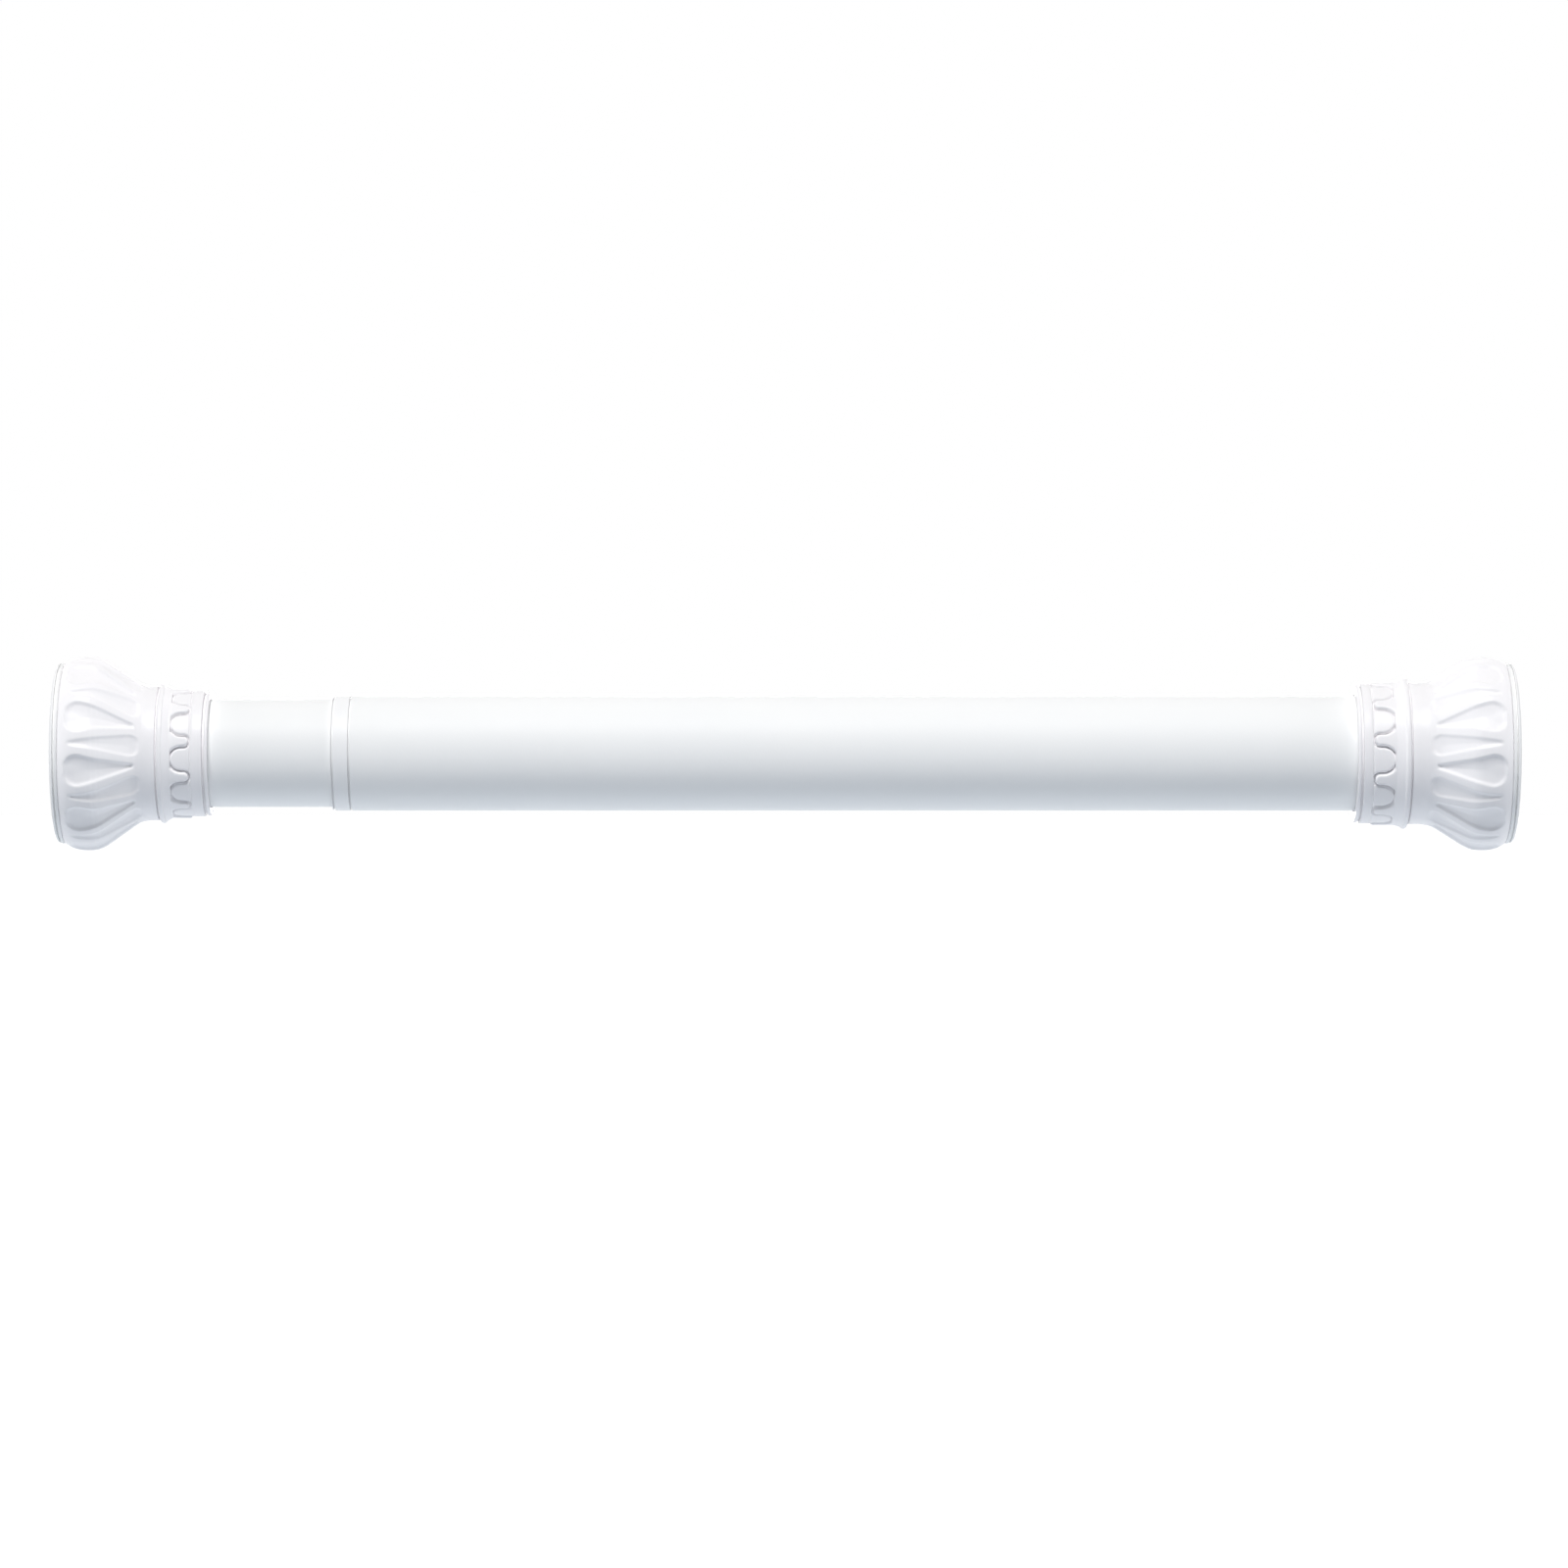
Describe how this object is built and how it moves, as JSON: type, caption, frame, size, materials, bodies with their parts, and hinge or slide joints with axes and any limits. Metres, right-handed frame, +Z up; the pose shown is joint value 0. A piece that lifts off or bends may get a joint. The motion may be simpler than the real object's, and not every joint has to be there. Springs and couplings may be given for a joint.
{
  "type": "tension rod",
  "caption": "White telescoping rod that clamps between two walls, with fluted flared caps, a meander edge on the collars and petal rosettes on the wall pads.",
  "frame": {"origin": "centre of the right wall pad's flat face", "axes": "+X along the rod, out of the right wall pad and into that wall; +Z up; the picture looks along +Y"},
  "size_m": [0.4061, 0.0542, 0.0541],
  "materials": {
    "white_tube": "satin",
    "cap_white": "satin gloss",
    "mouth_white": "satin",
    "pad_white": "matte",
    "moulded_grey": "matte",
    "steel": "zinc plated"
  },
  "bodies": {
    "outer_rod": {"outer_tube": "white_tube", "tube_mouth_ring": "mouth_white", "right_cap_shell": "cap_white", "right_wall_pad": "pad_white", "right_cap_plug": "moulded_grey", "right_cap_screw": "steel", "right_screw_washer": "steel", "spring_housing": "steel", "housing_pin": "steel", "housing_end_cap": "moulded_grey", "end_cap_pins": "steel", "tension_spring": "steel"},
    "spindle": {"adjuster_spindle": "steel", "spring_piston": "moulded_grey", "piston_pin": "steel", "stop_washer": "steel", "stop_screw": "steel"},
    "glide": {"glide_ring": "moulded_grey"},
    "inner_rod": {"inner_tube": "white_tube", "nut_plug": "moulded_grey", "spindle_nut": "steel", "nut_plug_rivets": "steel", "left_cap_shell": "cap_white", "left_wall_pad": "pad_white", "left_cap_plug": "moulded_grey", "left_cap_screw": "steel", "left_screw_washer": "steel"}
  },
  "joints": [
    {"name": "spring_stroke", "type": "slide", "parent": "outer_rod", "child": "spindle", "axis": [1, 0, 0], "range_m": [0, 0.02], "stiffness_N_per_m": 2900, "springref_m": -0.007, "deforming": ["tension_spring"]},
    {"name": "screw_travel", "type": "slide", "parent": "spindle", "child": "glide", "axis": [-1, 0, 0], "range_m": [-0.012, 0.12]},
    {"name": "tube_twist", "type": "hinge", "parent": "glide", "child": "inner_rod", "pos_m": [-0.1613, 0, 0], "axis": [-1, 0, 0], "range_deg": [-720, 7200]}
  ],
  "couplings": [
    {"joint": "screw_travel", "follows": "tube_twist", "m_per_rad": 0.00095493}
  ]
}
